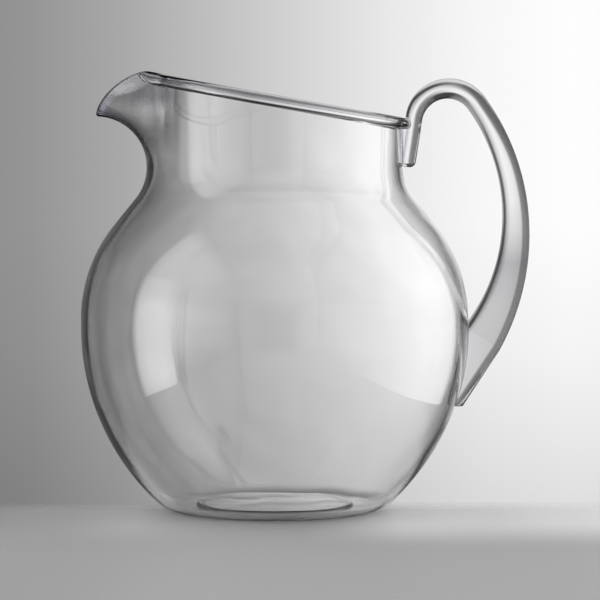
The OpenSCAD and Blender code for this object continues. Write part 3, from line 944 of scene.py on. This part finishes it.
# Painted light and shade of the floor across the picture, in metres: beside the object and nearer to the
# camera
FLOOR_LIGHT_AND_SHADE = (
    (-0.14, 0.35), (-0.10, 0.42), (-0.067, 0.56), (-0.02, 0.47), (0.013, 0.46), (0.035, 0.6), (0.06, 0.82),
    (0.11, 0.74), (0.16, 0.78),
)
FRONT_LIGHT_AND_SHADE = ((-0.145, 0.36), (-0.09, 0.39), (-0.04, 0.435), (0.16, 0.43))
# Where the front's painted shade takes over, where the floor gives way to the backdrop, and where its edge
# fades
FLOOR_FRONT = (-0.045, -0.155)
FLOOR_BEHIND = (-0.005, 0.045)
FLOOR_EDGE = (0.36, 0.8)
FLOOR_RADIUS = 1.0
FLOOR_SIDES = 64
FLOOR_ROUGHNESS = 0.6
FLOOR_SPECULAR = 0.2
CAMERA_TARGET = Vector((0.01265, 0, 0.1055))
CAMERA_DISTANCE = 1.82
CAMERA_ELEVATION = math.radians(3.2)
CAMERA_LENS = 218.4
CAMERA_SENSOR = 36
CAMERA_RANGE = 20


def studio_surroundings(scene):
    """World: a backdrop that runs from dark beside the spout to bright beside the handle."""
    world = bpy.data.worlds.new("studio")
    scene.world = world
    world.use_nodes = True
    tree = world.node_tree
    tree.nodes.clear()
    way = add_node(tree, "ShaderNodeTexCoord").outputs["Generated"]
    axes = add_node(tree, "ShaderNodeSeparateXYZ", {"Vector": way})
    turn = math_node(tree, "DEGREES", math_node(tree, "ARCTAN2", axes.outputs["X"], axes.outputs["Y"]))
    level = math_node(tree, "DEGREES", math_node(tree, "ARCSINE", axes.outputs["Z"]))
    eye = ramp_node(tree, turn, EYE_STOPS)
    sink = ramp_node(tree, level, SINK_STOPS)
    both = add_node(tree, "ShaderNodeVectorMath", {0: eye, 1: sink}, operation="MULTIPLY")
    picture = both.outputs["Vector"]
    for stops, levels in ((HIGH_STOPS, HIGH_LEVELS), (LOW_STOPS, LOW_LEVELS)):
        part = smooth_step(tree, level, levels)
        picture = mix_node(tree, part, picture, ramp_node(tree, turn, stops))
    path = add_node(tree, "ShaderNodeLightPath")
    aside = smooth_step(tree, math_node(tree, "ABSOLUTE", turn), PALE_TURNS)
    below = smooth_step(tree, level, PALE_LEVELS)
    straight = math_node(tree, "LESS_THAN", path.outputs["Glossy Depth"], HALF_BOUNCE)
    pale = math_node(tree, "MULTIPLY", math_node(tree, "MAXIMUM", aside, below), straight)
    picture = mix_node(tree, pale, picture, PALE_TONE)
    on_floor = math_node(tree, "GREATER_THAN", path.outputs["Diffuse Depth"], HALF_BOUNCE)
    seen = mix_node(tree, on_floor, picture, WHITE)
    background = add_node(tree, "ShaderNodeBackground", {"Color": seen})
    output = add_node(tree, "ShaderNodeOutputWorld")
    tree.links.new(background.outputs["Background"], output.inputs["Surface"])


def studio_floor():
    """Pale floor with painted light and shade, darker towards the spout, that fades into the backdrop
    behind the object.
    """
    material, tree, output = new_material("studio_floor")
    place = add_node(tree, "ShaderNodeNewGeometry").outputs["Position"]
    axes = add_node(tree, "ShaderNodeSeparateXYZ", {"Vector": place})
    # Painted light and shade across the floor, beside the object and nearer the camera
    beside = ramp_node(tree, axes.outputs["X"], FLOOR_LIGHT_AND_SHADE)
    front = ramp_node(tree, axes.outputs["X"], FRONT_LIGHT_AND_SHADE)
    forward = smooth_step(tree, axes.outputs["Y"], FLOOR_FRONT)
    shader = add_node(tree, "ShaderNodeBsdfPrincipled", {
        "Base Color": mix_node(tree, forward, beside, front),
        "Roughness": FLOOR_ROUGHNESS,
        "Specular IOR Level": FLOOR_SPECULAR,
    })
    clear = add_node(tree, "ShaderNodeBsdfTransparent")
    behind = smooth_step(tree, axes.outputs["Y"], FLOOR_BEHIND)
    far = add_node(tree, "ShaderNodeVectorMath", {0: place}, operation="LENGTH")
    edge = add_node(tree, "ShaderNodeMapRange", {
        "Value": far.outputs["Value"],
        "From Min": FLOOR_EDGE[0],
        "From Max": FLOOR_EDGE[1],
    })
    gone = math_node(tree, "MAXIMUM", behind, edge.outputs["Result"])
    blend = add_node(tree, "ShaderNodeMixShader", {
        "Fac": gone, 1: shader.outputs["BSDF"], 2: clear.outputs["BSDF"],
    })
    tree.links.new(blend.outputs["Shader"], output.inputs["Surface"])
    return material


def add_floor():
    """A round floor close under the foot."""
    rim = [polar((0, 0), FLOOR_RADIUS, math.tau * i / FLOOR_SIDES) for i in range(FLOOR_SIDES)]
    mesh = bpy.data.meshes.new("floor")
    mesh.from_pydata([(x, y, 0) for x, y in rim], [], [tuple(range(FLOOR_SIDES))])
    floor = add_object("floor", mesh)
    floor.location.z = -AIR_UNDER_FOOT
    mesh.materials.append(studio_floor())


def softbox_glow(name, back_y, glow_stops, rise_stops):
    """Light of a softbox from its back edge forwards and from below upwards, seen only when mirrored."""
    material, tree, output = new_material(name)
    place = add_node(tree, "ShaderNodeNewGeometry").outputs["Position"]
    axes = add_node(tree, "ShaderNodeSeparateXYZ", {"Vector": place})
    forward = math_node(tree, "SUBTRACT", back_y, axes.outputs["Y"])
    glow = ramp_node(tree, forward, glow_stops)
    rise = ramp_node(tree, axes.outputs["Z"], rise_stops)
    light = add_node(tree, "ShaderNodeEmission", {"Color": glow, "Strength": rise})
    clear = add_node(tree, "ShaderNodeBsdfTransparent")
    path = add_node(tree, "ShaderNodeLightPath")
    mirrored = math_node(tree, "GREATER_THAN", path.outputs["Glossy Depth"], HALF_BOUNCE)
    blend = add_node(tree, "ShaderNodeMixShader", {
        "Fac": mirrored, 1: clear.outputs["BSDF"], 2: light.outputs["Emission"],
    })
    tree.links.new(blend.outputs["Shader"], output.inputs["Surface"])
    return material


def softbox(name, edge, glow_stops, rise_stops, through):
    """A lit panel that shows only in the gloss of outer faces or, when asked, only through the walls."""
    x, back_y = edge
    front_y = back_y - glow_stops[-1][0]
    top = rise_stops[-1][0]
    mesh = bpy.data.meshes.new(name)
    corners = [(x, back_y, 0), (x, front_y, 0), (x, front_y, top), (x, back_y, top)]
    mesh.from_pydata(corners, [], [(0, 1, 2, 3)])
    mesh.materials.append(softbox_glow(name + "_glow", back_y, glow_stops, rise_stops))
    panel = add_object(name, mesh)
    panel.visible_camera = False
    panel.visible_diffuse = False
    panel.visible_glossy = not through
    panel.visible_transmission = through
    panel.visible_shadow = False


def add_camera(scene):
    """A camera in front of the pitcher that looks slightly down."""
    camera = bpy.data.objects.new("camera", bpy.data.cameras.new("camera"))
    scene.collection.objects.link(camera)
    back = Vector((0, -math.cos(CAMERA_ELEVATION), math.sin(CAMERA_ELEVATION)))
    camera.location = CAMERA_TARGET + CAMERA_DISTANCE * back
    camera.rotation_euler = (-back).to_track_quat("-Z", "Y").to_euler()
    camera.data.lens = CAMERA_LENS
    camera.data.sensor_width = CAMERA_SENSOR
    camera.data.clip_end = CAMERA_RANGE
    scene.camera = camera


class PITCHER_OT_stage(bpy.types.Operator):
    """Set the floor, the backdrop, the softboxes and the camera"""

    bl_idname = "pitcher.stage"
    bl_label = "Stage"

    def execute(self, context):
        scene = context.scene
        scene.view_settings.view_transform = "Standard"
        studio_surroundings(scene)
        add_floor()
        softbox("left_softbox", LEFT_SOFTBOX, LEFT_GLOW, LEFT_RISE, through=False)
        softbox("left_fill", LEFT_FILL, FILL_GLOW, FILL_RISE, through=False)
        softbox("right_softbox", RIGHT_SOFTBOX, RIGHT_GLOW, RIGHT_RISE, through=False)
        softbox("right_screen", RIGHT_SCREEN, SCREEN_GLOW, SCREEN_RISE, through=True)
        add_camera(scene)
        return {"FINISHED"}


class PITCHER_PT_panel(bpy.types.Panel):
    """Buttons that build the pitcher's pieces and its stage"""

    bl_idname = "PITCHER_PT_panel"
    bl_label = "Pitcher"
    bl_space_type = "VIEW_3D"
    bl_region_type = "UI"
    bl_category = "Pitcher"

    def draw(self, context):
        for operator in OPERATORS:
            self.layout.operator(operator.bl_idname)


OPERATORS = (PITCHER_OT_vessel, PITCHER_OT_handle, PITCHER_OT_bonds, PITCHER_OT_stage)
GROUPS = {
    "pitcher_vessel": PitcherVesselSizes,
    "pitcher_handle": PitcherHandleSizes,
    "pitcher_finish": PitcherFinish,
}
CLASSES = (*GROUPS.values(), *OPERATORS, PITCHER_PT_panel)


def register():
    for cls in CLASSES:
        bpy.utils.register_class(cls)
    for name, group in GROUPS.items():
        setattr(bpy.types.Scene, name, PointerProperty(type=group))


def unregister():
    for name in GROUPS:
        delattr(bpy.types.Scene, name)
    for cls in reversed(CLASSES):
        bpy.utils.unregister_class(cls)


def main():
    register()
    bpy.ops.pitcher.vessel()
    bpy.ops.pitcher.handle()
    bpy.ops.pitcher.bonds()
    bpy.ops.pitcher.stage()


if __name__ == "__main__":
    main()
